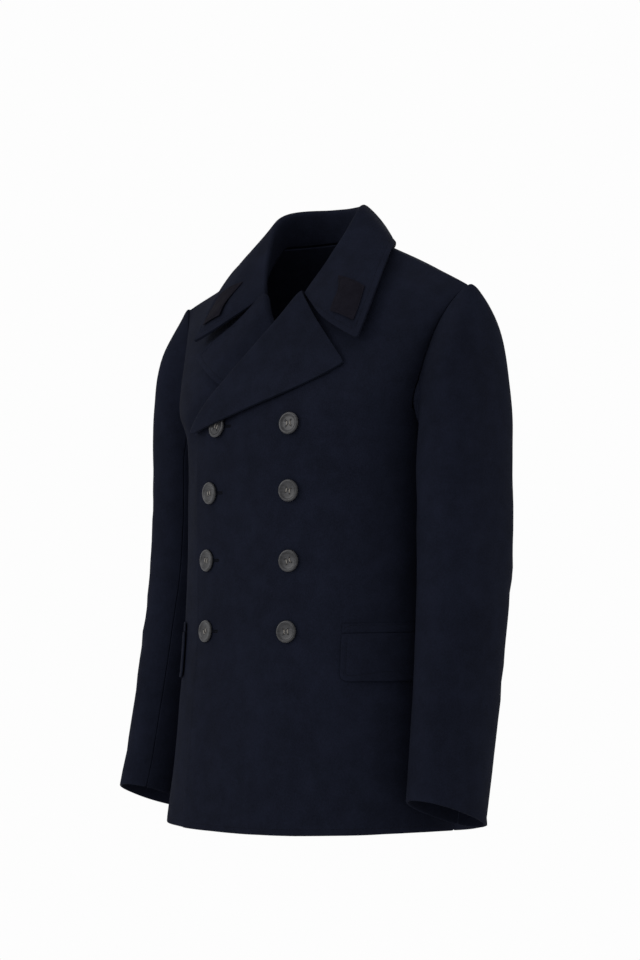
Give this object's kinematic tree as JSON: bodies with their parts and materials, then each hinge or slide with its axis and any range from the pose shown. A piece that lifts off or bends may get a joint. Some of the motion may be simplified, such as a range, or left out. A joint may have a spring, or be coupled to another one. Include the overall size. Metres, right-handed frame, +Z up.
{
  "type": "double-breasted pea coat",
  "caption": "Hip-length double-breasted wool coat with peaked lapels, wide collar and flap pockets, worn open-hemmed form.",
  "frame": {"origin": "on the torso's axis, level with the neck ends of the shoulder seams, where the wearer's shoulders carry the coat", "axes": "+Z up, the front faces -Y, +X is the wearer's left"},
  "size_m": [0.584, 0.342, 0.7944],
  "materials": {
    "melton": "felted navy melton wool, matt",
    "patch": "dark brushed wool patch, matt",
    "horn": "polished dark horn, streaked"
  },
  "bodies": {
    "root": {"left_front": "melton", "right_front": "melton", "back": "melton", "collar": "melton", "left_top_sleeve": "melton", "left_under_sleeve": "melton", "left_lapel": "melton", "left_pocket_flap": "melton", "left_pocket_welt": "melton", "right_top_sleeve": "melton", "right_under_sleeve": "melton", "right_lapel": "melton", "right_pocket_flap": "melton", "right_pocket_welt": "melton", "left_collar_patch": "patch", "right_collar_patch": "patch", "left_button_1": "horn", "right_button_1": "horn", "left_button_2": "horn", "right_button_2": "horn", "left_button_3": "horn", "right_button_3": "horn", "left_button_4": "horn", "right_button_4": "horn"}
  },
  "joints": []
}
